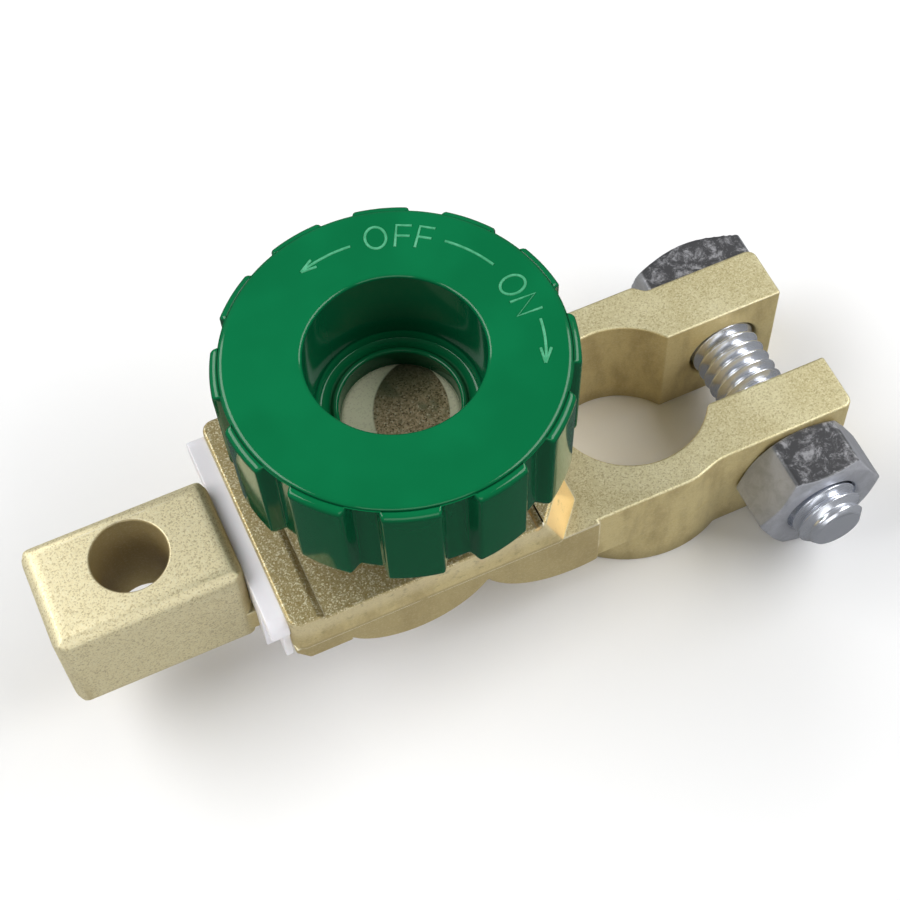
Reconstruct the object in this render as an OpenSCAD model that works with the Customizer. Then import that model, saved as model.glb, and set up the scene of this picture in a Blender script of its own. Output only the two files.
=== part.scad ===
// Top-post battery disconnect switch: a brass casting that clamps on the post,
// an insulated cable terminal under it, and a screw-down knob that joins the two.
// Origin: centre of the post bore on the foot of its collar. +X to the jaw ends, +Z up.

/* [Post clamp] */
// Diameter of the bore that grips the battery post
post_bore_d = 17.4; // [15:0.1:19]
// Wall of the collar round the bore, at its foot
collar_wall = 4.1; // [3.4:0.05:4.4]
// Height of the bore, from the collar's foot to the ring's top face
ring_h = 14.5; // [13.8:0.1:18]
// Thickness of the arm that joins the ring to the switch body
arm_t = 7.9; // [6:0.1:9]
// Width of the arm
arm_w = 25; // [24.2:0.1:28]

/* [Jaws and clamp bolt] */
// Distance from the post's axis to the ends of the jaws
jaw_reach = 21.6; // [21:0.1:26]
// Gap between the jaws
jaw_gap = 9.4; // [7:0.1:11]
// Width over both jaws
jaw_w = 22.8; // [21:0.1:24]
// Radius at the outer corners of the jaws
jaw_corner_r = 1.1; // [0.4:0.1:2]
// Distance from the ends of the jaws to the clamp bolt
bolt_inset = 6.5; // [5.6:0.1:7]
// Diameter of the clamp bolt
bolt_d = 7.85; // [6:0.05:8.2]
// Clearance of the bolt in its holes, on the diameter
bolt_hole_play = 0.65; // [0.3:0.05:1]
// Width across the flats of the bolt's square head
head_af = 13; // [11:0.1:13.4]
// Thickness of the bolt's head
head_t = 4.4; // [3.4:0.1:6]
// Width across the flats of the nut
nut_af = 13; // [11:0.1:13.4]
// Thickness of the nut
nut_t = 6.5; // [5:0.1:8]
// Length of the bolt that stands out of the nut
bolt_overhang = 3.2; // [1.5:0.1:8]

/* [Switch body] */
// Distance from the post's axis to the knob's axis
knob_offset = 26; // [25:0.1:30]
// Distance from the knob's axis to the body's cable end
body_left = 18; // [17.2:0.1:22]
// Distance from the knob's axis to the plate's post end, at its top
plate_right = 12; // [11.4:0.1:12.6]
// Width of the plate
plate_w = 26.2; // [25.4:0.1:30]
// Height of the plate above the ring's top face
plate_t = 5.5; // [4.6:0.1:7]
// Depth of the channel across the plate
channel_depth = 0.6; // [0.3:0.05:1]
// Width of the raised band at the cable end
left_band = 3.1; // [2:0.1:4]
// Width of the raised band at the post end
right_band = 2.6; // [1.5:0.1:3.4]
// Slant of the plate's post end
end_slant = 3.2; // [1.5:0.1:3.4]
// Step from the plate's edge in to the skirts
skirt_step = 0.2; // [0.05:0.05:0.6]
// Width of the pocket for the cable terminal's tongue
pocket_w = 16.4; // [15.4:0.1:18]
// Length of the pocket
pocket_l = 27; // [25.8:0.1:28.4]

/* [Knob] */
// Diameter over the grip lobes
knob_d = 34.6; // [32:0.1:40]
// Depth of the flutes between the lobes
flute_depth = 1; // [0.5:0.1:1.6]
// Number of grip lobes
lobe_count = 12; // [8:1:16]
// Height of the knob
knob_h = 13.3; // [12:0.1:16]
// Height of the thin disc on top of the grip lobes
top_disc_h = 0.8; // [0.4:0.1:1.5]
// Diameter of the finger recess at its mouth
recess_d = 17.6; // [16.8:0.1:20]
// Depth of the recess down to the stud's head
recess_depth = 11; // [9:0.1:11.4]
// Thickness of the knob's outer wall at the flutes
knob_wall = 2.3; // [1.6:0.1:3]

/* [Contact] */
// Height of the knob's underside above the channel when switched off
knob_lift = 7.5; // [7.2:0.1:8.5]
// Diameter of the stud's thread
stud_d = 10; // [8:0.1:10.6]
// Diameter of the stud's neck, where the contact washer turns
neck_d = 8.2; // [6:0.1:8.6]
// Diameter of the stud's head, seen in the recess
stud_head_d = 12; // [10:0.1:13]
// Width across the flats of the hexagon moulded into the knob
insert_af = 13.6; // [13:0.1:15]
// Diameter of the contact washer
washer_d = 17.2; // [15.6:0.1:17.6]
// Thickness of the contact washer
washer_t = 1.5; // [1:0.1:2]

/* [Cable terminal] */
// Length of the terminal block
block_l = 20.1; // [16:0.1:26]
// Width of the terminal block
block_w = 12.8; // [11:0.1:15]
// Height of the terminal block
block_h = 14.4; // [13.4:0.1:16]
// Height of the block's underside above the collar's foot
block_z = 7.4; // [6.8:0.1:8]
// Radius on the block's edges
block_r = 1.9; // [0.8:0.1:2.6]
// Diameter of the hole for the cable's bolt
cable_hole_d = 8; // [6:0.1:9]
// Distance from the block's free end to the hole's axis
cable_hole_x = 10.2; // [7:0.1:12]
// Distance from the middle of the block's width to the hole's axis
cable_hole_y = 0.6; // [-1:0.1:1]
// Thickness of the tongue
tongue_t = 3.6; // [2.6:0.1:3.8]
// Width of the tongue
tongue_w = 12.4; // [11.4:0.1:12.8]
// Depth of the threaded boss below the tongue
boss_drop = 3; // [1.8:0.1:3.4]
// Diameter of the eye at the tongue's end
eye_d = 14.4; // [13.8:0.1:14.8]
// Diameter of the threaded boss below the eye
boss_d = 13; // [12.4:0.1:13.6]

/* [Insulator] */
// Thickness of the flange between the block and the body
flange_t = 2; // [1.4:0.1:3]
// Width of the flange
flange_w = 24.4; // [22:0.1:25]
// Distance from the plate's top down to the flange's top
flange_drop = 0.4; // [0.1:0.1:1]
// Thickness of the sleeve above the tongue
sleeve_t = 1; // [0.6:0.1:1.2]
// Wall of the bush round the stud
bush_wall = 1.2; // [0.8:0.1:1.5]
// Thickness of the cover below the tongue
cover_t = 1.2; // [0.8:0.1:1.6]

/* [Hidden] */
$fn = 64;

// Small clearances and overlaps
eps = 0.01;
reach = 80;
running_play = 0.05;
slip = 0.1;

// Heights and stations of the casting
plate_z = ring_h + plate_t;
floor_z = plate_z - channel_depth;
arm_z = ring_h - arm_t;
body_x = -knob_offset - body_left;
plate_end_x = -knob_offset + plate_right;
arm_start_x = -9.6;
pocket_end_x = body_x + pocket_l;
body_w = plate_w - 2*skirt_step;
collar_d = post_bore_d + 2*collar_wall;
collar_draft = 0.2;
collar_shoulder = 1.4;
bolt_x = jaw_reach - bolt_inset;
bolt_z = ring_h/2;
bolt_hole_d = bolt_d + bolt_hole_play;

// Concave runs from the arm's width to the jaws': at the front, and at the rear up to the bolt's head
front_run = [1, 6.2];
rear_run = [bolt_x - head_af/2 - 2, bolt_x - head_af/2 - 0.2];

// Scalloped lower edge of the skirts: a foot and two lobes
foot_z = ring_h - 2.9;
foot_l = 6.2;
foot_chamfer = 1.3;
lobe_r = [9.3, 11.6];
lobe_x = [-knob_offset - 4.4, -knob_offset + 13.7];
lobe_drop = [6.5, 8.5];

// Stack in the pocket, from the plate's underside down
tongue_z = block_z + 1.9;
tongue_top = tongue_z + tongue_t;
ceiling_z = tongue_top + slip + sleeve_t;
sleeve_w = pocket_w - 2*slip;
sleeve_floor_z = tongue_z - slip;
cover_z = sleeve_floor_z - cover_t;
bush_gap = 0.3;
bush_d = stud_d + 2*(bush_gap + bush_wall);
bush_top = floor_z - 0.6;
boss_z = tongue_z - boss_drop;

// Heights of the knob and stud, switched off
knob_z = floor_z + knob_lift;
knob_top = knob_z + knob_h;
stud_top = knob_top - recess_depth;
stud_head_t = 1.4;
insert_t = 0.9;
neck_top = stud_top - stud_head_t;
washer_top = knob_z;
washer_z = washer_top - washer_t;
thread_top = washer_z - slip;
stud_tip = boss_z + 0.5;
tip_chamfer = 0.8;

// Turned parts of the knob
recess_floor_d = recess_d - 1.2;
lip_d = 14.2;
lip_h = 1.4;
hub_wall = 2.1;
hub_d = recess_d + 2*hub_wall;
valley_d = knob_d - 2*flute_depth;
top_disc_d = knob_d - 1.25;
knob_roof = 2.6;
rib_t = 1.4;
rib_count = 6;
lobe_share = 0.66;
lobe_phase = 13.7;

// Fasteners
nut_corner_r = nut_af/2/cos(30);
head_corner_r = head_af/sqrt(2) - 0.25;
head_face_r = head_af/2 - 0.15;
bolt_chamfer = 1.2;
thread_play = 0.03;

// Rectangle with round corners, centred
module round_rect(w, h, r) {
    square([w - 2*r, h], center = true);
    square([w, h - 2*r], center = true);
    for (sx = [-1, 1], sy = [-1, 1])
        translate([sx*(w/2 - r), sy*(h/2 - r)]) circle(r = r);
}

// Block with round edges along all three directions, centred
module round_block(l, w, h, r) {
    intersection() {
        linear_extrude(h, center = true) round_rect(l, w, r);
        rotate([90, 0, 0]) linear_extrude(w, center = true) round_rect(l, h, r);
        rotate([90, 0, 90]) linear_extrude(l, center = true) round_rect(w, h, r);
    }
}

// Profile drawn in X and Z, made solid across Y
module across(w) {
    rotate([90, 0, 0]) linear_extrude(w, center = true) children();
}

// Hexagon with both rims turned down, one flat up, along Y
module hex_body(t) {
    rim = 0.45;
    intersection() {
        rotate([90, 0, 0]) cylinder(r = nut_corner_r, h = t, center = true, $fn = 6);
        rotate([90, 0, 0]) union() {
            cylinder(r = nut_corner_r, h = t - 2*rim, center = true);
            for (s = [0, 1]) mirror([0, 0, s])
                translate([0, 0, t/2 - rim - eps]) cylinder(r1 = nut_corner_r, r2 = nut_af/2, h = rim + eps);
        }
    }
}

// Square head with one flat up and its outer rim turned down, from the origin along Y
module square_head(t) {
    rim = (head_corner_r - head_face_r)*tan(30);
    intersection() {
        translate([-head_af/2, 0, -head_af/2]) cube([head_af, t, head_af]);
        rotate([-90, 0, 0]) union() {
            cylinder(r = head_corner_r, h = t - rim);
            translate([0, 0, t - rim - eps]) cylinder(r1 = head_corner_r, r2 = head_face_r, h = rim + eps);
        }
    }
}

// Points along a concave run, on side 1 or -1
function run_edge(run, side, steps = 8) =
    [for (i = [0:steps]) [run[0] + (run[1] - run[0])*i/steps,
                          side*(jaw_w/4 + arm_w/4 + (arm_w - jaw_w)/4*cos(180*i/steps))]];

// Outline of the jaws, with the concave runs that narrow them from the arm's width
module jaw_outline() {
    front = run_edge(front_run, -1);
    front_back = [for (i = [len(front) - 1:-1:0]) front[i]];
    difference() {
        polygon(concat([[0, arm_w/2]], run_edge(rear_run, 1), [[jaw_reach, jaw_w/2], [jaw_reach, -jaw_w/2]],
                       front_back, [[0, -arm_w/2]]));
        for (s = [-1, 1]) translate([jaw_reach, s*jaw_w/2]) corner_scrap(s, jaw_corner_r);
    }
}

// Collar: drafted up to the arm's underside, then drawn in under the arm's sides
module collar() {
    arm_d = collar_d - 2*collar_draft;
    cylinder(d1 = collar_d, d2 = arm_d, h = arm_z);
    translate([0, 0, arm_z - eps]) cylinder(d1 = arm_d, d2 = arm_d - 2*collar_shoulder, h = arm_t - 1);
}

// What a corner of radius r loses, at the corner in +X and side s
module corner_scrap(s, r) {
    difference() {
        square(2*r, center = true);
        translate([-r, -s*r]) circle(r = r);
    }
}

// Lower edge of the skirts, drawn in X and Z
module skirt_profile() {
    intersection() {
        union() {
            translate([body_x, foot_z + 0.6]) square([arm_start_x - body_x, ring_h - foot_z]);
            translate([body_x, foot_z]) square([foot_l, ring_h - foot_z]);
            for (i = [0, 1]) translate([lobe_x[i], ring_h - lobe_drop[i] + lobe_r[i]]) circle(r = lobe_r[i]);
        }
        polygon([[body_x, ring_h], [arm_start_x, ring_h], [arm_start_x, 0],
                 [body_x + foot_chamfer, 0], [body_x + foot_chamfer, foot_z], [body_x, foot_z + foot_chamfer*1.6]]);
    }
}

// Side view of the plate, with its slanted post end and the channel across it
module plate_profile() {
    ledge = 0.5;
    polygon([[body_x, ring_h], [plate_end_x + end_slant, ring_h], [plate_end_x, plate_z],
             [plate_end_x - right_band, plate_z], [plate_end_x - right_band - ledge, floor_z],
             [body_x + left_band + ledge, floor_z], [body_x + left_band, plate_z], [body_x, plate_z]]);
}

// The slanted cut across one corner of the plate's post end
module corner_cut() {
    turn = 40.4;
    lean = 16.7;
    translate([plate_end_x, plate_w/2 - 2.7, plate_z])
        rotate([0, 0, turn]) rotate([0, -lean, 0])
            translate([0, -15, -15]) cube([20, 30, 30]);
}

module plate() {
    left_r = 1.3;
    difference() {
        across(plate_w) plate_profile();
        for (m = [0, 1]) mirror([0, m, 0]) {
            corner_cut();
            translate([body_x, plate_w/2, ring_h - 1]) linear_extrude(plate_t + 2)
                mirror([1, 0]) corner_scrap(1, left_r);
        }
    }
}

// Groove in both skirts for the cover's bead
module bead(w, grow) {
    bead_h = 0.5 + 2*grow;
    translate([body_x + 3, -w/2 - 0.3, cover_z + cover_t/2 - bead_h/2]) cube([pocket_l - 6, w + 0.6, bead_h]);
}

module clamp_casting() {
    color("darkkhaki")
    difference() {
        union() {
            collar();
            translate([arm_start_x - 1, -arm_w/2, arm_z]) cube([1.5 - arm_start_x, arm_w, arm_t]);
            linear_extrude(ring_h) jaw_outline();
            across(body_w) skirt_profile();
            plate();
        }
        translate([0, 0, -1]) cylinder(d = post_bore_d, h = ring_h + 2);
        translate([0, -jaw_gap/2, -1]) cube([reach, jaw_gap, ring_h + 2]);
        translate([bolt_x, 0, bolt_z]) rotate([90, 0, 0]) cylinder(d = bolt_hole_d, h = reach, center = true);
        translate([body_x - 1, -pocket_w/2, -1]) cube([pocket_l + 1, pocket_w, ceiling_z + 1]);
        bead(pocket_w, 0.1);
        translate([-knob_offset, 0, 0]) cylinder(d = bush_d + 2*slip, h = reach);
    }
}

module cable_terminal() {
    block_x = body_x - flange_t - block_l/2;
    tongue_x = body_x - flange_t - block_r;
    color("khaki")
    difference() {
        union() {
            translate([block_x, 0, block_z + block_h/2]) round_block(block_l, block_w, block_h, block_r);
            translate([tongue_x, -tongue_w/2, tongue_z]) cube([-knob_offset - tongue_x, tongue_w, tongue_t]);
            translate([-knob_offset, 0, tongue_z]) cylinder(d = eye_d, h = tongue_t);
            translate([-knob_offset, 0, boss_z]) cylinder(d = boss_d, h = boss_drop + eps);
        }
        translate([body_x - flange_t - block_l + cable_hole_x, cable_hole_y, 0]) cylinder(d = cable_hole_d, h = reach);
        translate([-knob_offset, 0, 0]) cylinder(d = stud_d + 2*running_play, h = reach);
    }
}

// Flange of the insulator: a wide step against the casting and a narrow one against the block
module flange() {
    top_z = plate_z - flange_drop;
    bar_h = 3.3;
    step_t = flange_t*0.4;
    step_h = 9;
    tail_w = 16;
    translate([body_x - flange_t, 0, 0]) rotate([90, 0, 90]) {
        linear_extrude(flange_t) translate([0, top_z - bar_h/2]) round_rect(flange_w, bar_h, 1.2);
        linear_extrude(flange_t) translate([-tail_w/2, cover_z]) square([tail_w, top_z - cover_z - 1]);
        translate([0, 0, flange_t - step_t]) linear_extrude(step_t)
            translate([0, top_z - step_h/2]) round_rect(flange_w - 1.2, step_h, 1.2);
    }
}

module insulator_sleeve() {
    window_w = tongue_w + 2*slip;
    window_h = tongue_t + 2*slip;
    eye_room = eye_d + 2*slip;
    eye_end_x = -knob_offset + eye_room/2;
    color("white")
    difference() {
        union() {
            flange();
            translate([body_x - eps, -sleeve_w/2, sleeve_floor_z])
                cube([pocket_l - slip + eps, sleeve_w, ceiling_z - sleeve_floor_z]);
            translate([-knob_offset, 0, ceiling_z - eps]) cylinder(d = bush_d, h = bush_top - ceiling_z);
        }
        translate([body_x - flange_t - 1, -window_w/2, sleeve_floor_z]) cube([flange_t + 2, window_w, window_h]);
        translate([body_x, -eye_room/2, sleeve_floor_z - 1]) cube([eye_end_x - body_x, eye_room, window_h + 1]);
        translate([-knob_offset, 0, 0]) cylinder(d = bush_d - 2*bush_wall, h = reach);
    }
}

module insulator_cover() {
    color("white")
    difference() {
        union() {
            translate([body_x, -sleeve_w/2, cover_z]) cube([pocket_l - slip, sleeve_w, cover_t]);
            bead(sleeve_w, 0);
        }
        translate([-knob_offset, 0, 0]) cylinder(d = boss_d + 2*slip, h = reach);
    }
}

// Grip lobes of the knob, seen from above
module grip_outline() {
    circle(d = valley_d);
    lobe_w = lobe_share*PI*knob_d/lobe_count;
    intersection() {
        circle(d = knob_d);
        for (i = [0:lobe_count - 1]) rotate(lobe_phase + i*360/lobe_count)
            translate([knob_d/4, -lobe_w/2]) square([knob_d/2, lobe_w]);
    }
}

module knob() {
    core_d = valley_d - 2*knob_wall;
    color("seagreen")
    difference() {
        union() {
            translate([-knob_offset, 0, knob_z]) linear_extrude(knob_h - top_disc_h) grip_outline();
            translate([-knob_offset, 0, knob_z]) cylinder(d = top_disc_d, h = knob_h);
        }
        translate([-knob_offset, 0, knob_z]) {
            translate([0, 0, knob_h - recess_depth + lip_h])
                cylinder(d1 = recess_floor_d, d2 = recess_d, h = recess_depth - lip_h + eps);
            translate([0, 0, knob_h - recess_depth]) cylinder(d1 = stud_head_d, d2 = lip_d, h = lip_h + eps);
            difference() {
                translate([0, 0, -1]) cylinder(d = core_d, h = knob_h - knob_roof + 1);
                translate([0, 0, -2]) cylinder(d = hub_d, h = knob_h + 2);
                for (i = [0:rib_count - 1]) rotate(i*360/rib_count)
                    translate([0, -rib_t/2, 0.6]) cube([knob_d/2, rib_t, knob_h]);
            }
        }
        stud_blank(insert_af, stud_head_d, neck_d);
    }
}

// The part of the stud that the knob is moulded round
module stud_blank(af, head_d, shank_d) {
    translate([-knob_offset, 0, 0]) {
        translate([0, 0, neck_top]) cylinder(d = head_d, h = stud_head_t);
        translate([0, 0, neck_top]) cylinder(d = af/cos(30), h = insert_t, $fn = 6);
        translate([0, 0, knob_z - 1]) cylinder(d = shank_d, h = neck_top - knob_z + 1 + eps);
    }
}

module contact_stud() {
    color("gold") {
        stud_blank(insert_af, stud_head_d, neck_d);
        translate([-knob_offset, 0, thread_top - eps]) cylinder(d = neck_d, h = knob_z - thread_top);
        translate([-knob_offset, 0, stud_tip + tip_chamfer]) cylinder(d = stud_d, h = thread_top - stud_tip - tip_chamfer);
        translate([-knob_offset, 0, stud_tip])
            cylinder(d1 = stud_d - 2*tip_chamfer, d2 = stud_d, h = tip_chamfer + eps);
    }
}

module contact_washer() {
    color("goldenrod")
    translate([-knob_offset, 0, washer_z]) difference() {
        cylinder(d = washer_d, h = washer_t);
        translate([0, 0, -1]) cylinder(d = neck_d + 2*running_play, h = washer_t + 2);
    }
}

module clamp_bolt() {
    shank_l = jaw_w + nut_t + bolt_overhang;
    color("silver")
    translate([bolt_x, 0, bolt_z]) {
        translate([0, jaw_w/2, 0]) square_head(head_t);
        translate([0, jaw_w/2 + eps, 0]) rotate([90, 0, 0]) cylinder(d = bolt_d, h = shank_l - bolt_chamfer + eps);
        translate([0, jaw_w/2 - shank_l + bolt_chamfer + eps, 0]) rotate([90, 0, 0])
            cylinder(d1 = bolt_d, d2 = bolt_d - 2*bolt_chamfer, h = bolt_chamfer + eps);
    }
}

module clamp_nut() {
    color("lightgray")
    translate([bolt_x, -jaw_w/2 - nut_t/2, bolt_z]) difference() {
        hex_body(nut_t);
        rotate([90, 0, 0]) cylinder(d = bolt_d + 2*thread_play, h = nut_t + 2, center = true);
    }
}

clamp_casting();
cable_terminal();
insulator_sleeve();
insulator_cover();
knob();
contact_stud();
contact_washer();
clamp_bolt();
clamp_nut();
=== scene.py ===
"""Looks of a top-post battery disconnect switch: cast brass clamp and cable block, white insulator,
green screw-down knob, zinc-plated clamp bolt and nut. Sizes are in millimetres until a mesh is finished."""
import math

import bmesh
import bpy
from mathutils import Matrix, Vector
from mathutils.bvhtree import BVHTree


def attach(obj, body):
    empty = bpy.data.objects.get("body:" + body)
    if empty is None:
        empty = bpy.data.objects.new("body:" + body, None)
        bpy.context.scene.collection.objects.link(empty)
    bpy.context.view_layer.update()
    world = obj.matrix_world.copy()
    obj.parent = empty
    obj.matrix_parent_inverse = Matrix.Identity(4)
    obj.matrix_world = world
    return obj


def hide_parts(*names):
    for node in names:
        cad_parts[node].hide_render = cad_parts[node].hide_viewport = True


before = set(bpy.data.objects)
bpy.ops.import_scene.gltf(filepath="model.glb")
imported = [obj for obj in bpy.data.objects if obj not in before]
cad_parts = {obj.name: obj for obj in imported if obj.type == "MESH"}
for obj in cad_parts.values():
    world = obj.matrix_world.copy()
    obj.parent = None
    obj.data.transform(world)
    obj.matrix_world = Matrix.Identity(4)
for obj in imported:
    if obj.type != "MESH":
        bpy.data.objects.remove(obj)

MM = 0.001
SCENE = bpy.context.scene
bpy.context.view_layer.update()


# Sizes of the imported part

def box_of(node):
    """A CAD node's lowest and highest corner, rounded to hundredths of a millimetre."""
    spots = [vert.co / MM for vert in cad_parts[node].data.vertices]
    return [[round(pick(spot[axis] for spot in spots), 2) for axis in range(3)] for pick in (min, max)]


knob_low, knob_high = box_of("knob")
stud_low, stud_high = box_of("contact_stud")
bolt_low, bolt_high = box_of("clamp_bolt")
nut_low, nut_high = box_of("clamp_nut")
KNOB_X = (knob_low[0] + knob_high[0]) / 2
KNOB_BOTTOM, KNOB_TOP = knob_low[2], knob_high[2]
STUD_TIP, STUD_TOP = stud_low[2], stud_high[2]
BOLT_X, BOLT_Z = (bolt_low[0] + bolt_high[0]) / 2, (bolt_low[2] + bolt_high[2]) / 2
BOLT_TIP_Y = bolt_low[1]
FLATS_W = nut_high[2] - nut_low[2]
NUT_T = nut_high[1] - nut_low[1]
JAW_HALF_W = -nut_high[1]
HEAD_T = bolt_high[1] - JAW_HALF_W
PLATE_TOP = box_of("clamp_casting")[1][2]
RING_TOP = 14.5
ARM_FOOT = 6.6
SKIRT_HALF_W = 12.8
SLANT_X = -17.25
BLOCK_X = -47.0
CABLE_HOLE, CABLE_HOLE_R = (-55.9, 0.6), 4.0


# Camera

def place_camera():
    """The photograph's viewpoint, fitted to the part's edges."""
    azimuth, elevation, roll = math.radians(-21.258), math.radians(59.956), math.radians(-3.475)
    distance, slide_x, slide_y, aim_z = 191.42, 4.86, -3.23, 28.2
    back = Vector((math.sin(azimuth) * math.cos(elevation), -math.cos(azimuth) * math.cos(elevation),
                   math.sin(elevation)))
    across = Vector((math.cos(azimuth), math.sin(azimuth), 0))
    upward = back.cross(across)
    right = math.cos(roll) * across + math.sin(roll) * upward
    up = math.cos(roll) * upward - math.sin(roll) * across
    spot = Vector((KNOB_X, 0, aim_z)) + slide_x * right + slide_y * up + distance * back
    camera = bpy.data.cameras.new("camera")
    camera.lens, camera.sensor_width = 76.66, 36
    camera.clip_start, camera.clip_end = 0.01, 20
    holder = bpy.data.objects.new("camera", camera)
    holder.matrix_world = Matrix.Translation(spot * MM) @ Matrix((right, up, back)).transposed().to_4x4()
    SCENE.collection.objects.link(holder)
    SCENE.camera = holder


place_camera()


# Shader arithmetic

class Value:
    """A shader socket that takes Python arithmetic: an expression on values adds its Math nodes."""

    def __init__(self, finish, socket):
        self.finish, self.socket = finish, socket

    def math(self, operation, *others):
        return self.finish.node("ShaderNodeMath", {"operation": operation}, [self, *others])

    def __add__(self, other):
        return self.math("ADD", other)

    def __sub__(self, other):
        return self.math("SUBTRACT", other)

    def __mul__(self, other):
        return self.math("MULTIPLY", other)

    def __rsub__(self, other):
        return self.finish.node("ShaderNodeMath", {"operation": "SUBTRACT"}, [other, self])

    __radd__, __rmul__ = __add__, __mul__

    def between(self, low, high):
        """0 at low and 1 at high, with a smooth run between and no change past them."""
        return self.finish.node("ShaderNodeMapRange", {"interpolation_type": "SMOOTHSTEP"}, [self, low, high])


class Finish:
    """One material and the nodes that make it."""

    def __init__(self, name):
        self.material = bpy.data.materials.new(name)
        self.material.use_nodes = True
        self.tree = self.material.node_tree
        self.shader = self.tree.nodes["Principled BSDF"]
        place = self.node("ShaderNodeTexCoord", {}, [], "Object")
        self.mm = self.node("ShaderNodeVectorMath", {"operation": "SCALE"}, {0: place, 3: 1 / MM})

    def node(self, kind, settings, values, out=0):
        """A node of that kind: its settings first, then the values or links of its sockets."""
        made = self.tree.nodes.new(kind)
        for key, setting in settings.items():
            setattr(made, key, setting)
        for slot, value in (values.items() if isinstance(values, dict) else enumerate(values)):
            self.feed(made.inputs[slot], value)
        return Value(self, made.outputs[out])

    def feed(self, socket, value):
        if isinstance(value, Value):
            self.tree.links.new(value.socket, socket)
        elif isinstance(value, tuple) and socket.type == "RGBA":
            socket.default_value = (*value, 1)
        else:
            socket.default_value = value

    def set(self, **inputs):
        """Feeds the shader's own sockets, named with _ for each space."""
        for name, value in inputs.items():
            self.feed(self.shader.inputs[name.replace("_", " ")], value)

    def noise(self, per_mm, detail=2.0, roughness=0.5, place=None, distortion=0.0):
        return self.node("ShaderNodeTexNoise", {"noise_dimensions": "3D"},
                         {"Vector": place or self.mm, "Scale": per_mm, "Detail": detail,
                          "Roughness": roughness, "Distortion": distortion})

    def cell_value(self, per_mm):
        """One random value from 0 to 1 for each of many small grains."""
        cells = self.node("ShaderNodeTexVoronoi", {"feature": "F1"},
                          {"Vector": self.mm, "Scale": per_mm, "Randomness": 1.0}, "Color")
        return self.node("ShaderNodeSeparateColor", {}, [cells], "Red")

    def stretched(self, scale):
        """The place, scaled along each axis."""
        return self.node("ShaderNodeMapping", {}, {"Vector": self.mm, "Scale": scale})

    def place(self, axis):
        """Where the point lies along one axis, in millimetres."""
        return self.node("ShaderNodeSeparateXYZ", {}, [self.mm], axis)

    def from_upright(self, x, y):
        """Distance from an upright line, in millimetres."""
        across, along = self.place("X") - x, self.place("Y") - y
        return (across * across + along * along).math("SQRT")

    def facing_up(self):
        """1 on faces that look straight up, 0 on upright ones."""
        normal = self.node("ShaderNodeNewGeometry", {}, [], "Normal")
        return self.node("ShaderNodeSeparateXYZ", {}, [normal], "Z")

    def knob_shadow_area(self):
        """1 on the plate under and round the knob, where its painted shadow goes, 0 elsewhere."""
        off = (self.place("X") - KNOB_X).math("ABSOLUTE")
        return off.between(21, 18) * self.place("Z").between(15.2, 15.8)

    def on_thread(self):
        """1 on the clamp bolt's thread, 0 on its head and on the nut."""
        across, upward = self.place("X") - BOLT_X, self.place("Z") - BOLT_Z
        return (across * across + upward * upward).between(4.3 ** 2, 4.1 ** 2)

    def edges(self, radius_mm):
        """About 0 on flats and up to 1 along edges and corners."""
        soft = self.node("ShaderNodeBevel", {"samples": 6}, {"Radius": radius_mm * MM})
        true = self.node("ShaderNodeNewGeometry", {}, [], "Normal")
        along = self.node("ShaderNodeVectorMath", {"operation": "DOT_PRODUCT"}, {0: soft, 1: true}, "Value")
        return (1 - along).between(0.01, 0.16)

    def hollows(self, reach_mm):
        """1 in the open and towards 0 in corners and under overhangs."""
        return self.node("ShaderNodeAmbientOcclusion", {"samples": 6, "only_local": True},
                         {"Distance": reach_mm * MM}, "AO")

    def blend(self, factor, first, second):
        """First colour where the factor is 0, second where it is 1."""
        return self.node("ShaderNodeMix", {"data_type": "RGBA", "clamp_factor": True},
                         {0: factor, 6: first, 7: second}, 2)

    def bump(self, height, depth_mm, strength):
        """Feeds the normal from a height of up to that depth, and gives the material, which is then done."""
        self.set(Normal=self.node("ShaderNodeBump", {}, {"Height": height, "Distance": depth_mm * MM,
                                                         "Strength": strength}))
        return self.material


# Finishes

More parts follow.
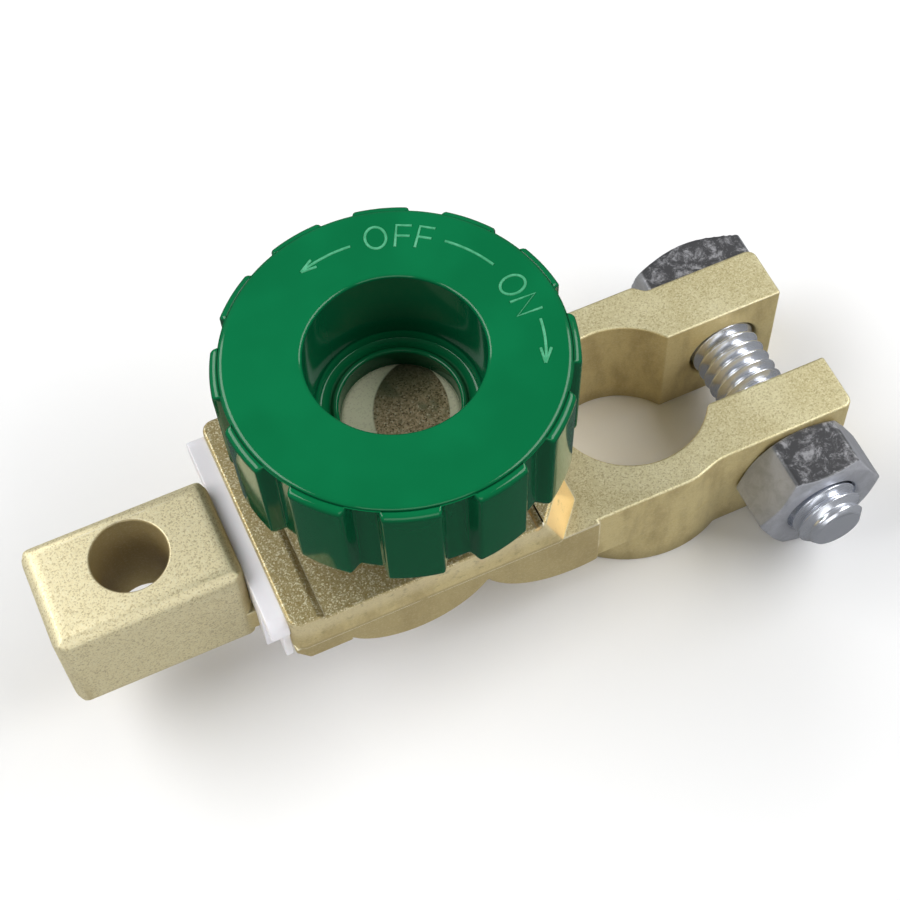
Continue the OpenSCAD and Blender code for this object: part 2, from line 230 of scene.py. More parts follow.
def make_cast_brass():
    """Sandy on faces that look up, satin and browner on upright ones, pale along edges from wear and a
    painted highlight; painted shade under the knob, in corners, on the skirts, in the cable hole and near the
    foot; painted reflection on the upper sides and the slanted facet.
    """
    brass = Finish("cast_brass")
    sand = brass.noise(4.6, 3.0, 0.75) * 0.65 + brass.cell_value(7.0) * 0.35
    patches = brass.noise(0.13, 3.0, 0.55)
    blotches = brass.noise(0.9, 3.0, 0.6)
    stains = brass.noise(0.35, 3.0, 0.6, brass.stretched((1, 1, 0.4)))
    facing = brass.facing_up()
    height = brass.place("Z")
    edge = brass.edges(0.42)
    open_air = brass.hollows(3.0)
    knob_shadow = brass.knob_shadow_area()
    on_block = brass.place("X").between(BLOCK_X + 0.5, BLOCK_X - 0.5)
    in_hole = brass.from_upright(*CABLE_HOLE).between(CABLE_HOLE_R + 0.2, CABLE_HOLE_R + 0.08)
    off_middle = brass.place("Y").math("ABSOLUTE")
    on_skirts = (off_middle.between(SKIRT_HALF_W - 0.05, SKIRT_HALF_W + 0.05)
                 * height.between(RING_TOP + 0.7, RING_TOP + 0.4) * (1 - on_block))
    upward = (facing.between(0.3, 0.85) * height.between(7.0, 7.6) * (1 - on_skirts)
              + on_block * facing.between(-0.4, 0.1)).math("MINIMUM", 1.0) * (1 - in_hole)
    facet_sheen = (facing.between(0.15, 0.3) * facing.between(0.97, 0.9)
               * height.between(RING_TOP + 0.02, RING_TOP + 0.2)
               * height.between(PLATE_TOP - 0.25, PLATE_TOP - 0.45)
               * brass.place("X").between(SLANT_X - 0.25, SLANT_X + 0.25))

    top = brass.blend(patches.between(0.35, 0.65), (0.72, 0.64, 0.36), (0.82, 0.75, 0.46))
    top = brass.blend(on_block * 0.9, top, (0.95, 0.85, 0.54))
    # Painted shadow of the knob: the plate's top under and round it darker and browner
    top = brass.blend(knob_shadow * 0.85, top, (0.42, 0.33, 0.15))
    side = brass.blend(stains.between(0.38, 0.72), (0.76, 0.63, 0.31), (0.56, 0.44, 0.2))
    # Painted shade: the skirts set back under the plate are darker
    side = brass.blend(on_skirts * 0.6, side, (0.46, 0.36, 0.17))
    # Painted reflection: the plate's upper sides lighter and creamier
    side = brass.blend(height.between(16.0, 18.5) * 0.6, side, (0.92, 0.8, 0.5))
    # Painted shade inside the cable hole
    side = brass.blend(in_hole * 0.8, side, (0.4, 0.3, 0.12))
    colour = brass.blend(upward, side, top)
    # Painted sheen: the slanted facet between ring and plate warm orange-gold, with less sand
    colour = brass.blend(facet_sheen * 0.9, colour, (0.95, 0.66, 0.28))

    strength = (0.14 + upward * (0.3 + on_block * 0.06 + knob_shadow * 0.35)) * (1 - facet_sheen * 0.7)
    colour = brass.blend(sand.between(0.47, 0.3) * strength, colour, (0.36, 0.26, 0.09))
    colour = brass.blend(sand.between(0.53, 0.7) * strength, colour, (0.98, 0.93, 0.68))
    # Dark blotches, stronger inside the knob's painted shadow
    colour = brass.blend(blotches.between(0.56, 0.75) * (0.1 + knob_shadow * 0.4), colour, (0.3, 0.24, 0.1))
    # Painted shade: darker in corners and under overhangs, from the occlusion node
    corner_shade = 1 - open_air.between(0.25, 0.95)
    colour = brass.blend(corner_shade * 0.65, colour, (0.18, 0.12, 0.04))
    # Painted shade: upright faces darker towards the floor
    foot = height.between(3.0, 0.0) * (1 - upward)
    colour = brass.blend(foot * 0.35, colour, (0.2, 0.14, 0.05))
    # Pale edges above the lowest 8 mm: partly wear, partly a painted highlight
    wear_and_edge_highlight = edge * brass.noise(0.8, 3.0, 0.6).between(0.28, 0.42) * open_air.between(0.2, 0.6)
    colour = brass.blend(wear_and_edge_highlight * height.between(8.0, 9.0) * 0.9, colour, (1.0, 0.94, 0.74))
    brass.set(Metallic=0.35 + upward * (0.35 - on_block * 0.25), Base_Color=colour,
              Roughness=0.34 + upward * 0.1 + sand * 0.1 - wear_and_edge_highlight * 0.1)
    return brass.bump(sand * (0.2 + upward) + brass.noise(1.2, 2.0) * 0.5, 0.03, 0.6)


def make_turned_brass():
    """Sanded brown-gold brass with bright specks; the stud's head carries painted light as pale smooth
    crescents on two sides, and painted shade on its back half.
    """
    brass = Finish("turned_brass")
    speck = brass.cell_value(6.5)
    fine = brass.noise(8.0, 3.0, 0.75)
    grit = fine * 0.6 + speck * 0.4
    patches = brass.noise(0.35, 3.0, 0.6)
    on_head = brass.place("Z").between(STUD_TOP - 1, STUD_TOP - 0.9)
    # Painted light: pale smooth crescents where light reaches the head through the recess mouth
    front_crescent = brass.from_upright(KNOB_X + 4.8, -1.9).between(7.8, 8.05)
    rear_crescent = brass.from_upright(KNOB_X - 3.35, 1.3).between(8.4, 8.55)
    lit_crescents = (front_crescent + rear_crescent).math("MINIMUM", 1.0) * on_head
    colour = brass.blend(speck.between(0.1, 0.9), (0.5, 0.36, 0.2), (0.85, 0.66, 0.4))
    colour = brass.blend(patches.between(0.45, 0.65), colour, (0.42, 0.38, 0.22))
    colour = brass.blend(grit.between(0.66, 0.74), colour, (1.0, 0.92, 0.7))
    colour = brass.blend(grit.between(0.36, 0.28), colour, (0.14, 0.1, 0.05))
    shade = brass.place("Y").between(-1.0, 5.0) * on_head
    colour = brass.blend(shade * 0.75, colour, (0.12, 0.13, 0.07))
    colour = brass.blend(lit_crescents, colour, (1.0, 0.95, 0.68))
    brass.set(Metallic=0.6 - lit_crescents * 0.5, Base_Color=colour, Roughness=0.34 + speck * 0.15 - lit_crescents * 0.1)
    return brass.bump((speck + fine * 0.5) * (1 - lit_crescents), 0.03, 0.5)


def make_knob_green():
    """Deep glossy moulded green with faint sink marks and scuffs, and painted shade darkening its upright
    sides.
    """
    green = Finish("knob_green")
    cloud = green.noise(0.12, 2.0)
    scuff = green.noise(1.1, 3.0, 0.6).between(0.55, 0.8)
    upward = green.facing_up().between(0.1, 0.8)
    colour = green.blend(cloud.between(0.3, 0.7), (0.0012, 0.142, 0.046), (0.0018, 0.165, 0.055))
    # Painted shade: upright sides darker than the top
    colour = green.blend(upward, (0.0015, 0.07, 0.026), colour)
    green.set(Base_Color=colour, Roughness=0.07 + scuff * 0.08 + cloud * 0.04, Specular_IOR_Level=0.35)
    return green.bump(green.noise(0.4, 2.0), 0.02, 0.25)


def make_worn_green():
    """The knob's raised strokes, rubbed paler than the face round them."""
    green = Finish("worn_green")
    rubbed = green.noise(1.5, 3.0, 0.6)
    colour = green.blend(rubbed.between(0.35, 0.7), (0.05, 0.34, 0.16), (0.1, 0.46, 0.25))
    green.set(Base_Color=colour, Roughness=0.3 + rubbed * 0.2)
    return green.bump(rubbed, 0.02, 0.4)


def make_plated_steel():
    """Zinc plate: flats on top mottled dark and light, the mottle partly the plating and partly a painted
    reflection, plain grey upright ones, a bright thread and a painted highlight along the edges.
    """
    steel = Finish("plated_steel")
    mottle = steel.noise(0.6, 5.0, 0.72, distortion=0.5)
    speck = steel.cell_value(5.0)
    thread = steel.on_thread()
    upward = steel.facing_up().between(0.6, 0.9) * (1 - thread)
    patch = (mottle + (speck - 0.5) * 0.08).between(0.46, 0.68)
    # Painted reflection: flats that look up are dark with light patches, upright ones plain grey
    top = steel.blend(patch, (0.08, 0.08, 0.085), (0.42, 0.42, 0.44))
    top = steel.blend(speck.between(0.85, 0.97) * 0.6, top, (0.08, 0.08, 0.08))
    side = steel.blend(mottle.between(0.35, 0.65), (0.4, 0.41, 0.44), (0.5, 0.51, 0.55))
    colour = steel.blend(upward, side, top)
    colour = steel.blend(thread, colour, (0.8, 0.83, 0.9))
    # Painted highlight: pale lines along the edges
    edge = steel.edges(0.3) * (1 - thread)
    colour = steel.blend(edge, colour, (0.97, 0.97, 0.98))
    steel.set(Metallic=0.35 + thread * 0.4 - edge * 0.35, Base_Color=colour,
              Roughness=0.24 + upward * 0.08 + mottle * 0.1 - thread * 0.05 - edge * 0.05)
    return steel.bump((mottle * 0.8 + speck * 0.1) * (1 - thread), 0.02, 0.4)


def make_insulator_white():
    """Moulded white nylon that lets a little light in, with painted shade greying its corners."""
    white = Finish("insulator_white")
    cloud = white.noise(0.3, 2.0)
    colour = white.blend(cloud, (0.93, 0.91, 0.96), (0.97, 0.95, 0.99))
    # Painted shade in corners, from the occlusion node
    colour = white.blend(1 - white.hollows(1.5), colour, (0.5, 0.48, 0.52))
    white.set(Base_Color=colour, Roughness=0.36 + cloud * 0.1,
              Subsurface_Weight=0.2, Subsurface_Radius=(0.5, 0.4, 0.4), Subsurface_Scale=MM)
    return white.bump(white.noise(1.6, 3.0), 0.02, 0.4)


cast_brass = make_cast_brass()
turned_brass = make_turned_brass()
knob_green = make_knob_green()
worn_green = make_worn_green()
plated_steel = make_plated_steel()
insulator_white = make_insulator_white()


# Finished pieces

# Edges that turn more than this stay crisp, on copies of CAD nodes and on pieces made here
COPY_CRISP_DEG, NEW_CRISP_DEG = 36, 62


def to_metres(bm):
    bmesh.ops.scale(bm, vec=(MM, MM, MM), verts=bm.verts)
    return bm


def join(bm, other):
    """Adds another piece's geometry, which is then freed."""
    mesh = bpy.data.meshes.new("joined")
    other.to_mesh(mesh)
    other.free()
    bm.from_mesh(mesh)
    bpy.data.meshes.remove(mesh)


def finish_piece(name, bm, material, body, stands_for=None, crisp_deg=NEW_CRISP_DEG):
    """Turns a bmesh in metres into a piece that rides on a body. Edges past crisp_deg stay crisp."""
    bmesh.ops.remove_doubles(bm, verts=bm.verts, dist=0.001 * MM)
    bmesh.ops.recalc_face_normals(bm, faces=bm.faces)
    for face in bm.faces:
        face.smooth = True
    for edge in bm.edges:
        edge.smooth = edge.calc_face_angle(0) < math.radians(crisp_deg)
    mesh = bpy.data.meshes.new(name)
    bm.to_mesh(mesh)
    bm.free()
    mesh.materials.append(material)
    piece = bpy.data.objects.new(name, mesh)
    SCENE.collection.objects.link(piece)
    even = piece.modifiers.new("flats", "WEIGHTED_NORMAL")
    even.mode, even.weight, even.keep_sharp = "FACE_AREA", 50, True
    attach(piece, body)
    if stands_for:
        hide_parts(stands_for)
    return piece


def eased_copy(node, ease, sharp_deg=22, keep_sharp=None):
    """A merged copy of a CAD node with its sharp edges rounded by that many millimetres.

    keep_sharp says, for an edge's middle in millimetres, that it stays as it is."""
    bm = bmesh.new()
    bm.from_mesh(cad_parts[node].data)
    bmesh.ops.remove_doubles(bm, verts=bm.verts, dist=0.002 * MM)
    bmesh.ops.dissolve_limit(bm, angle_limit=math.radians(0.6), verts=bm.verts, edges=bm.edges,
                             use_dissolve_boundaries=False, delimit=set())
    true_surface = BVHTree.FromBMesh(bm)
    sharp = [e for e in bm.edges if e.calc_face_angle(0) > math.radians(sharp_deg) and e.is_convex]
    if keep_sharp:
        sharp = [e for e in sharp if not keep_sharp((e.verts[0].co + e.verts[1].co) / 2 / MM)]
    bmesh.ops.bevel(bm, geom=sharp, offset=ease * MM, offset_type="OFFSET", segments=3, profile=0.5,
                    affect="EDGES", clamp_overlap=False, material=-1, loop_slide=True)
    # Where bevels meet too far out, their points go back on the true surface
    for vert in bm.verts:
        spot, _, _, away = true_surface.find_nearest(vert.co)
        if away > 0.6 * ease * MM:
            vert.co = spot
    return bm


def finish_copy(name, node, material, body, slot, ease, **easing):
    """A CAD node's eased copy, as the piece that stands for it."""
    return finish_piece(name, eased_copy(node, ease, **easing), material, body, node, COPY_CRISP_DEG)


# Walls skinned over rings of points

def even_angles(count):
    return [2 * math.pi * i / count for i in range(count)]


def ring_at(z, reaches, angles):
    """A ring of points round the Z axis, with one reach for each angle."""
    return [Vector((reach * math.cos(a), reach * math.sin(a), z)) for reach, a in zip(reaches, angles)]


def round_ring(radius, z, angles):
    return ring_at(z, [radius] * len(angles), angles)


def hexagon_ring(flats_w, corner_r, z, angles):
    """A hexagon whose corners are turned down to a circle."""
    offs = [a % (math.pi / 3) - math.pi / 6 for a in angles]
    return ring_at(z, [min(flats_w / 2 / math.cos(off), corner_r) for off in offs], angles)


def quarter(steps):
    """Pairs of sine and 1 - cosine over a quarter turn, for rounding an edge."""
    turns = [math.pi / 2 * i / steps for i in range(steps + 1)]
    return [(math.sin(turn), 1 - math.cos(turn)) for turn in turns]


def smoothstep(low, high, x):
    t = min(1.0, max(0.0, (x - low) / (high - low)))
    return t * t * (3 - 2 * t)


def skin(rings, close=False):
    """A wall over rings of points: a grid with one row for each ring, its two sides joined.

    A closed wall runs on from its last ring to its first. An open one gets a flat face at each end."""
    rows = rings + rings[:1] if close else rings
    count = len(rings[0])
    bm = bmesh.new()
    grid = bmesh.ops.create_grid(bm, x_segments=count, y_segments=len(rows) - 1, size=1.0)["verts"]
    for i, vert in enumerate(grid):
        row, column = divmod(i, count + 1)
        vert.co = rows[row][column % count]
    ends = [grid[:count], grid[-count - 1:-1]]
    if not close:
        for end in ends:
            bmesh.ops.contextual_create(bm, geom=end)
    bmesh.ops.remove_doubles(bm, verts=bm.verts, dist=1e-5)
    return bm


DEPTH_PER_PITCH = 0.6
THREAD_STEPS = 48


def threaded_rod(length, outer, pitch, tip_chamfer):
    """A rod with a helical ridge along +Z from 0 to its length, chamfered at the far end."""
    root = outer - DEPTH_PER_PITCH * pitch
    # One ridge: its radius at each share of the pitch
    outline = [(root, 0.0), (root + 0.04, 0.1), (outer - 0.06, 0.42), (outer, 0.47), (outer, 0.56),
               (outer - 0.06, 0.61), (root + 0.04, 0.93), (root, 1.0)]
    turns = math.ceil(length / pitch) + 3
    bm = bmesh.new()
    verts = [bm.verts.new((radius, 0, (share - 2) * pitch)) for radius, share in outline]
    edges = [bm.edges.new(pair) for pair in zip(verts, verts[1:])]
    bmesh.ops.spin(bm, geom=verts + edges, cent=(0, 0, 0), axis=(0, 0, 1), dvec=(0, 0, pitch / THREAD_STEPS),
                   angle=2 * math.pi * turns, steps=THREAD_STEPS * turns, use_merge=False)
    bmesh.ops.remove_doubles(bm, verts=bm.verts, dist=0.002)
    for z, outwards in ((0, -1), (length, 1)):
        cut = bmesh.ops.bisect_plane(bm, geom=list(bm.verts) + list(bm.edges) + list(bm.faces), dist=1e-5,
                                     plane_co=(0, 0, z), plane_no=(0, 0, outwards), clear_outer=True)
        rim = [part for part in cut["geom_cut"] if isinstance(part, bmesh.types.BMEdge)]
        bmesh.ops.edgeloop_fill(bm, edges=rim)
    for vert in bm.verts:
        reach = math.hypot(vert.co.x, vert.co.y)
        limit = outer - tip_chamfer + (length - vert.co.z) * 0.9
        if reach > limit:
            vert.co.x *= limit / reach
            vert.co.y *= limit / reach
    return bm


# Knob

LOBES = 12
LOBE_PHASE = 11.4
LOBE_SHARE = 0.66
LOBE_RUN = 0.42
GRIP_R, FLUTE_R, DISC_R = 17.75, 16.2, 16.85
GRIP_DRAFT = 0.25
SHOULDER_Z = KNOB_TOP - 0.38
MOUTH_R = 8.8
RECESS_STEP_Z, RECESS_FLOOR_Z = KNOB_TOP - 8.7, KNOB_TOP - 9.6
HEAD_R = 6.0
INSERT_Z, NECK_Z = STUD_TOP - 0.5, STUD_TOP - 1.4
WELL_IN_R, WELL_OUT_R, WELL_Z = 10.9, 14.0, KNOB_BOTTOM + 0.6
POCKET_ROOF_Z = KNOB_TOP - 2.6
RIBS, RIB_HALF_W = 6, 0.7


def grip_stations(per_lobe=50):
    """Angles round the knob, and how far each stands out: 1 on a lobe, 0 in a flute."""
    half = math.pi / LOBES
    corner = LOBE_SHARE * half
    run = LOBE_RUN / GRIP_R
    stations = []
    for i in range(LOBES * per_lobe):
        off = (i / per_lobe % 1) * 2 * half
        out = 1 - smoothstep(corner - run, corner + run, min(off, 2 * half - off))
        stations.append((math.radians(LOBE_PHASE) + i / per_lobe * 2 * half, out))
    return stations


def knob_rings():
    """The knob's section: foot, grip, shoulder, top disc, recess, the stud's socket and the well below."""
    stations = grip_stations()
    angles = [a for a, _ in stations]
    soft = 0.15
    foot_r, lobe_r, straight = 0.75, 0.75, 4.0
    groove_w, groove_h = 0.12, 0.1
    rim_w, rim_h, mouth_edge = 0.6, 0.36, 0.45
    floor_r, step_in, lip_r = 8.0, 0.17, 6.4
    gap, socket_w, socket_corner_r, socket_neck_r = 0.02, 13.6, 7.752, 4.15

    def grip(z, inset_all=0.0, inset_lobe=0.0):
        inset_lobe += GRIP_DRAFT * (KNOB_TOP - z) / (KNOB_TOP - KNOB_BOTTOM)
        lobe_h = GRIP_R - FLUTE_R - inset_lobe
        return ring_at(z, [FLUTE_R + lobe_h * out - inset_all for _, out in stations], angles)

    def circle(radius, z):
        return round_ring(radius, z, angles)

    def socket(z):
        return hexagon_ring(socket_w, socket_corner_r, z, angles)

    rings = [circle(WELL_OUT_R, KNOB_BOTTOM + soft), circle(WELL_OUT_R + soft, KNOB_BOTTOM)]
    rings += [grip(KNOB_BOTTOM + foot_r * fall, foot_r * (1 - side)) for side, fall in quarter(4)]
    rings += [grip(KNOB_BOTTOM + straight), grip(SHOULDER_Z - straight)]
    rings += [grip(SHOULDER_Z - lobe_r * (1 - rise), 0, lobe_r * side) for rise, side in quarter(5)]
    rings += [circle(DISC_R + groove_w, SHOULDER_Z), circle(DISC_R + groove_w / 2, SHOULDER_Z - groove_h),
              circle(DISC_R, SHOULDER_Z - groove_h)]
    rings += [circle(DISC_R - rim_w * side, KNOB_TOP - rim_h * (1 - rise)) for rise, side in quarter(6)]
    rings += [circle(radius, KNOB_TOP)
              for radius in (DISC_R - rim_w - soft, DISC_R - 2, MOUTH_R + 3, MOUTH_R + mouth_edge + soft)]
    rings += [circle(MOUTH_R + mouth_edge * (1 - side), KNOB_TOP - mouth_edge * fall)
              for side, fall in quarter(4)]
    # Two small steps above the floor of the recess, then the floor with a rounded lip round the stud
    rings += [circle(floor_r + out, z) for out, z in (
        (2 * step_in, RECESS_STEP_Z + 0.05), (step_in, RECESS_STEP_Z - 0.05),
        (step_in - 0.02, RECESS_STEP_Z - 0.5), (0, RECESS_STEP_Z - 0.6),
        (0, RECESS_FLOOR_Z + 0.1), (-0.1, RECESS_FLOOR_Z))]
    rings += [circle(lip_r + out, RECESS_FLOOR_Z + rise) for out, rise in (
        (0.55, 0.0), (0.42, 0.06), (0.35, 0.2), (0.25, 0.34), (0.1, 0.44), (-0.05, 0.47), (-0.17, 0.43),
        (-0.28, 0.33), (-0.34, 0.18), (-0.37, 0.0))]
    rings += [circle(HEAD_R + gap, STUD_TOP), circle(HEAD_R + gap, INSERT_Z), socket(INSERT_Z),
              socket(NECK_Z), circle(socket_neck_r, NECK_Z), circle(socket_neck_r, KNOB_BOTTOM)]
    rings += [circle(WELL_IN_R - soft, KNOB_BOTTOM), circle(WELL_IN_R, KNOB_BOTTOM + soft),
              circle(WELL_IN_R, WELL_Z), circle(WELL_OUT_R, WELL_Z)]
    return rings


def sink_pockets(bm):
    """Sinks the well in the underside up to the roof, and leaves its ribs."""
    sector = 2 * math.pi / RIBS
    floors = []
    for face in bm.faces:
        middle = face.calc_center_median()
        if abs(middle.z - WELL_Z) < 1e-4 and WELL_IN_R < middle.xy.length < WELL_OUT_R:
            turn = (math.atan2(middle.y, middle.x) + sector / 2) % sector - sector / 2
            if abs(math.sin(turn)) * middle.xy.length > RIB_HALF_W:
                floors.append(face)
    pockets = bmesh.ops.extrude_face_region(bm, geom=floors)["geom"]
    roof = [part for part in pockets if isinstance(part, bmesh.types.BMVert)]
    bmesh.ops.translate(bm, verts=roof, vec=(0, 0, POCKET_ROOF_Z - WELL_Z))
    bmesh.ops.delete(bm, geom=floors, context="FACES")


def make_knob():
    """Grip lobes, thin top disc, stepped finger recess, and the cored underside with its ribs."""
    bm = skin(knob_rings(), close=True)
    bmesh.ops.recalc_face_normals(bm, faces=bm.faces)
    sink_pockets(bm)
    bmesh.ops.translate(bm, verts=bm.verts, vec=(KNOB_X, 0, 0))
    finish_piece("knob_shell", to_metres(bm), knob_green, "knob", "knob")


make_knob()


# Knob lettering

LETTER_R, LETTER_H = 13.55, 2.6
STROKE_W, STROKE_FLATNESS = 0.28, 0.7


def on_knob(radius, angle_deg):
    a = math.radians(angle_deg)
    return Vector((KNOB_X + radius * math.cos(a), radius * math.sin(a), KNOB_TOP))


def stroke(points):
    """A thin round stroke along points on the knob's top, half sunk in it."""
    curve = bpy.data.curves.new("stroke", "CURVE")
    curve.dimensions = "3D"
    curve.bevel_depth = STROKE_W / 2 * MM
    curve.bevel_resolution = 2
    curve.use_fill_caps = True
    line = curve.splines.new("POLY")
    closed = (points[0] - points[-1]).length < 1e-6
    points = points[:-1] if closed else points
    line.points.add(len(points) - 1)
    for knot, spot in zip(line.points, points):
        knot.co = (*(spot * MM), 1)
    line.use_cyclic_u = closed
    maker = bpy.data.objects.new("stroke", curve)
    mesh = bpy.data.meshes.new_from_object(maker)
    bpy.data.objects.remove(maker)
    return mesh


def glyph(shapes, middle_deg):
    """Letter strokes given in shares of the letter's height, stood on the knob's top."""
    lines = []
    for shape in shapes:
        line = []
        for across, up in shape:
            spot = Vector((LETTER_R + (up - 0.5) * LETTER_H, -across * LETTER_H, 0))
            spot.rotate(Matrix.Rotation(math.radians(middle_deg), 3, "Z"))
            line.append(spot + Vector((KNOB_X, 0, KNOB_TOP)))
        lines.append(line)
    return lines


def arc(radius, start_deg, end_deg, steps=12):
    return [on_knob(radius, start_deg + (end_deg - start_deg) * i / steps) for i in range(steps + 1)]


def oval(half_w, steps=28):
    turns = [2 * math.pi * i / steps for i in range(steps + 1)]
    return [(half_w * math.sin(turn), 0.5 + 0.5 * math.cos(turn)) for turn in turns]


def arrow(radius, start_deg, end_deg):
    """An arc with a two-stroke head at its end."""
    head_deg, head_w = 6.8, 1.0
    back = end_deg + math.copysign(head_deg, start_deg - end_deg)
    tip = on_knob(radius, end_deg)
    return [arc(radius, start_deg, end_deg), [on_knob(radius + head_w / 2, back), tip],
            [on_knob(radius - head_w / 2, back), tip]]


def make_lettering():
    """The words for the two states, a line between them and an arrow past each."""
    letter_o = [oval(0.4)]
    letter_f = [[(-0.29, 0), (-0.29, 1), (0.29, 1)], [(-0.29, 0.52), (0.24, 0.52)]]
    letter_n = [[(-0.34, 0), (-0.34, 1), (0.34, 0), (0.34, 1)]]
    lines = glyph(letter_o, 74.6) + glyph(letter_f, 63) + glyph(letter_f, 53.9)
    lines += [arc(13.7, 45.5, 22.2)]
    lines += glyph(letter_o, 9.5) + glyph(letter_n, -1.8)
    lines += arrow(14.3, -10, -30.1) + arrow(13.2, 85.9, 110.2)
    bm = bmesh.new()
    for line in lines:
        mesh = stroke(line)
        bm.from_mesh(mesh)
        bpy.data.meshes.remove(mesh)
    for vert in bm.verts:
        vert.co.z = KNOB_TOP * MM + (vert.co.z - KNOB_TOP * MM) * STROKE_FLATNESS
    finish_piece("knob_lettering", bm, worn_green, "knob", crisp_deg=COPY_CRISP_DEG)


make_lettering()


# Stud and washer

STUD_R, STUD_PITCH, STUD_CHAMFER = 5.0, 1.5, 0.8
THREAD_TOP = KNOB_BOTTOM - 1.6


def make_stud():
    """Sanded head seen in the recess, hexagon in the knob, neck, and the coarse thread below the washer."""
    angles = even_angles(72)
    gap, neck_r, insert_w, insert_corner_r = 0.02, 4.1, 13.56, 7.7
    rim, dome_h, dome_fall, flat_r = 0.04, 0.15, 0.034, 2
    rings = [round_ring(neck_r, THREAD_TOP - 0.1, angles), round_ring(neck_r, NECK_Z, angles),
             hexagon_ring(insert_w, insert_corner_r, NECK_Z + gap, angles),
             hexagon_ring(insert_w, insert_corner_r, INSERT_Z - gap, angles),
             round_ring(HEAD_R, INSERT_Z, angles), round_ring(HEAD_R - rim, INSERT_Z + 0.06, angles)]
    for radius in (5.86, 5.5, 5, 4.5, 4, 3.4, 2.8, flat_r):
        rings.append(round_ring(radius, STUD_TOP + dome_h - dome_fall * (radius - flat_r) ** 2, angles))
    bm = skin(rings)
    rod = threaded_rod(THREAD_TOP - STUD_TIP, STUD_R, STUD_PITCH, STUD_CHAMFER)
    bmesh.ops.rotate(rod, cent=(0, 0, 0), matrix=Matrix.Rotation(math.pi, 3, "X"), verts=rod.verts)
    bmesh.ops.translate(rod, verts=rod.verts, vec=(0, 0, THREAD_TOP))
    join(bm, rod)
    bmesh.ops.translate(bm, verts=bm.verts, vec=(KNOB_X, 0, 0))
    finish_piece("contact_screw", to_metres(bm), turned_brass, "knob", "contact_stud")


make_stud()
finish_copy("captive_washer", "contact_washer", turned_brass, "washer", "turned_brass", 0.2)


# Clamp bolt and nut

BOLT_R, BOLT_PITCH, BOLT_CHAMFER = 3.925, 1.35, 1.2
CHAMFERED_FACE_R = 6.3


def prism_rings(sides, thickness, angles, corner_r, slope, foot_turned=True):
    """Rings of a square or hexagonal block along +Z from 0, its rims turned down to a circle."""
    depths = [0, 0.06, 0.12, 0.19, 0.26, 0.34, 0.42, 0.5, 0.62, 0.8, 1.0, 1.25, 1.5]
    depths = [d for d in depths if d * slope < corner_r - CHAMFERED_FACE_R + 0.3]
    sector = 2 * math.pi / sides
    flats = [FLATS_W / 2 / math.cos(a % sector - sector / 2) for a in angles]

    def ring(z, depth):
        return ring_at(z, [min(flat, corner_r, CHAMFERED_FACE_R + slope * depth) for flat in flats], angles)

    foot = [ring(d, d) for d in depths] if foot_turned else [ring(0, thickness)]
    return foot + [ring(thickness - d, d) for d in reversed(depths)]


def corner_angles(sides):
    """Angles round a prism, closer together near its corners, which lie at multiples of a side."""
    sector = 360 / sides
    shares = [0, 0.025, 0.055, 0.1, 0.165, 0.25, 0.35, 0.45]
    offs = shares + [1 - share for share in reversed(shares[1:])]
    return [math.radians(sector * (side + off)) for side in range(sides) for off in offs]


def along_y(bm, y, flip=False):
    """Turns a piece that was made along +Z to lie along the clamp bolt's axis, from y on."""
    turn = Matrix.Rotation(math.radians(90 if flip else -90), 3, "X")
    bmesh.ops.rotate(bm, cent=(0, 0, 0), matrix=turn, verts=bm.verts)
    bmesh.ops.translate(bm, verts=bm.verts, vec=(BOLT_X, y, BOLT_Z))


def make_bolt():
    """Square head behind the rear jaw, and a thread through both jaws and the nut."""
    angles = corner_angles(4)
    rings = prism_rings(4, HEAD_T, angles, corner_r=8.9, slope=1.73, foot_turned=False)
    rings += [round_ring(radius, HEAD_T, angles) for radius in (5.6, 2.0)]
    bm = skin(rings)
    bmesh.ops.rotate(bm, cent=(0, 0, 0), matrix=Matrix.Rotation(math.radians(45), 3, "Z"), verts=bm.verts)
    along_y(bm, JAW_HALF_W)
    sunk_in_head = 0.02
    rod = threaded_rod(JAW_HALF_W - BOLT_TIP_Y, BOLT_R, BOLT_PITCH, BOLT_CHAMFER)
    along_y(rod, JAW_HALF_W + sunk_in_head, flip=True)
    join(bm, rod)
    finish_piece("jaw_bolt", to_metres(bm), plated_steel, "body", "clamp_bolt")


def make_nut():
    """Hexagonal nut in front of the front jaw, its bore countersunk at both ends."""
    angles = corner_angles(6)
    bore_r, sink = 3.96, 0.45
    rings = prism_rings(6, NUT_T, angles, corner_r=7.37, slope=2.1)
    rings += [round_ring(bore_r + sink + 0.05, NUT_T, angles), round_ring(bore_r, NUT_T - sink, angles),
              round_ring(bore_r, sink, angles), round_ring(bore_r + sink, 0, angles)]
    bm = skin(rings, close=True)
    along_y(bm, -JAW_HALF_W, flip=True)
    finish_piece("jaw_nut", to_metres(bm), plated_steel, "body", "clamp_nut")


make_bolt()
make_nut()


# Casting, cable block, insulator

def beside_steps(middle):
    """The step where the skirts meet the arm's top, and the narrow ledge under the arm."""
    on_skirt = abs(middle.z - RING_TOP) < 0.05 and abs(middle.y) > SKIRT_HALF_W and middle.x < -9
    return on_skirt or abs(middle.z - ARM_FOOT) < 0.05


def lower_rim_of_cable_hole(middle):
    from_axis = math.hypot(middle.x - CABLE_HOLE[0], middle.y - CABLE_HOLE[1])
    return middle.z < 8 and from_axis < CABLE_HOLE_R + 0.2


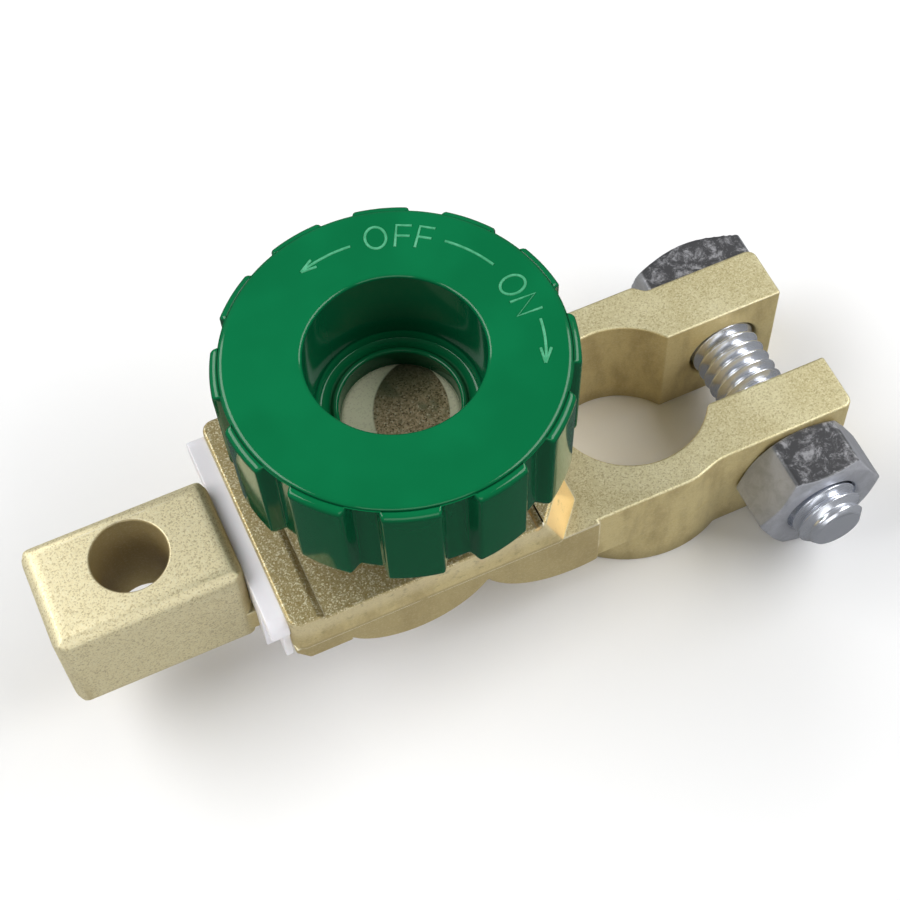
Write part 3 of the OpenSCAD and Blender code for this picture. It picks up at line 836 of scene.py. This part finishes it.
finish_copy("post_clamp_casting", "clamp_casting", cast_brass, "body", "cast_brass", 0.32,
            keep_sharp=beside_steps)
finish_copy("cable_block", "cable_terminal", cast_brass, "body", "cast_brass", 0.25, sharp_deg=44,
            keep_sharp=lower_rim_of_cable_hole)
flange = finish_copy("insulator_flange", "insulator_sleeve", insulator_white, "body", "insulator", 0.12)
lid = finish_copy("insulator_lid", "insulator_cover", insulator_white, "body", "insulator", 0.12)
for white_piece in flange, lid:
    white_piece.visible_glossy = False


# Floor and light, in metres

def make_floor():
    """Plain pale paper. The part's gloss mirrors the dim studio in its place."""
    bm = bmesh.new()
    bmesh.ops.create_grid(bm, x_segments=1, y_segments=1, size=3.0)
    mesh = bpy.data.meshes.new("floor")
    bm.to_mesh(mesh)
    bm.free()
    paper = Finish("floor_paper")
    grain = paper.noise(0.02, 2.0)
    paper.set(Base_Color=paper.blend(grain, (0.92, 0.92, 0.92), (0.94, 0.94, 0.94)), Roughness=0.7)
    mesh.materials.append(paper.material)
    floor = bpy.data.objects.new("floor", mesh)
    SCENE.collection.objects.link(floor)
    floor.visible_glossy = False


def softbox(name, spot, size, power):
    """A rectangular lamp that looks at the part."""
    part_middle = Vector((-0.02, 0, 0.02))
    light = bpy.data.lights.new(name, "AREA")
    light.shape, light.size, light.size_y = "RECTANGLE", size[0], size[1]
    light.energy = power
    lamp = bpy.data.objects.new(name, light)
    lamp.location = spot
    lamp.rotation_euler = (part_middle - Vector(spot)).to_track_quat("-Z", "Y").to_euler()
    SCENE.collection.objects.link(lamp)


def make_light():
    """Big softboxes to the left and right, a low one in front, and the dim studio behind."""
    world = bpy.data.worlds.new("studio")
    world.use_nodes = True
    world.node_tree.nodes["Background"].inputs["Color"].default_value = (0.8, 0.82, 0.85, 1)
    world.node_tree.nodes["Background"].inputs["Strength"].default_value = 0.12
    SCENE.world = world
    softbox("softbox_left", (-0.47, 0.26, 0.49), (0.85, 0.37), 4.8)
    softbox("softbox_right", (0.48, -0.135, 0.49), (0.85, 0.37), 4.6)
    softbox("softbox_front", (-0.2, -0.62, 0.33), (0.7, 0.35), 1.3)
    SCENE.view_settings.view_transform = "Standard"


make_floor()
make_light()
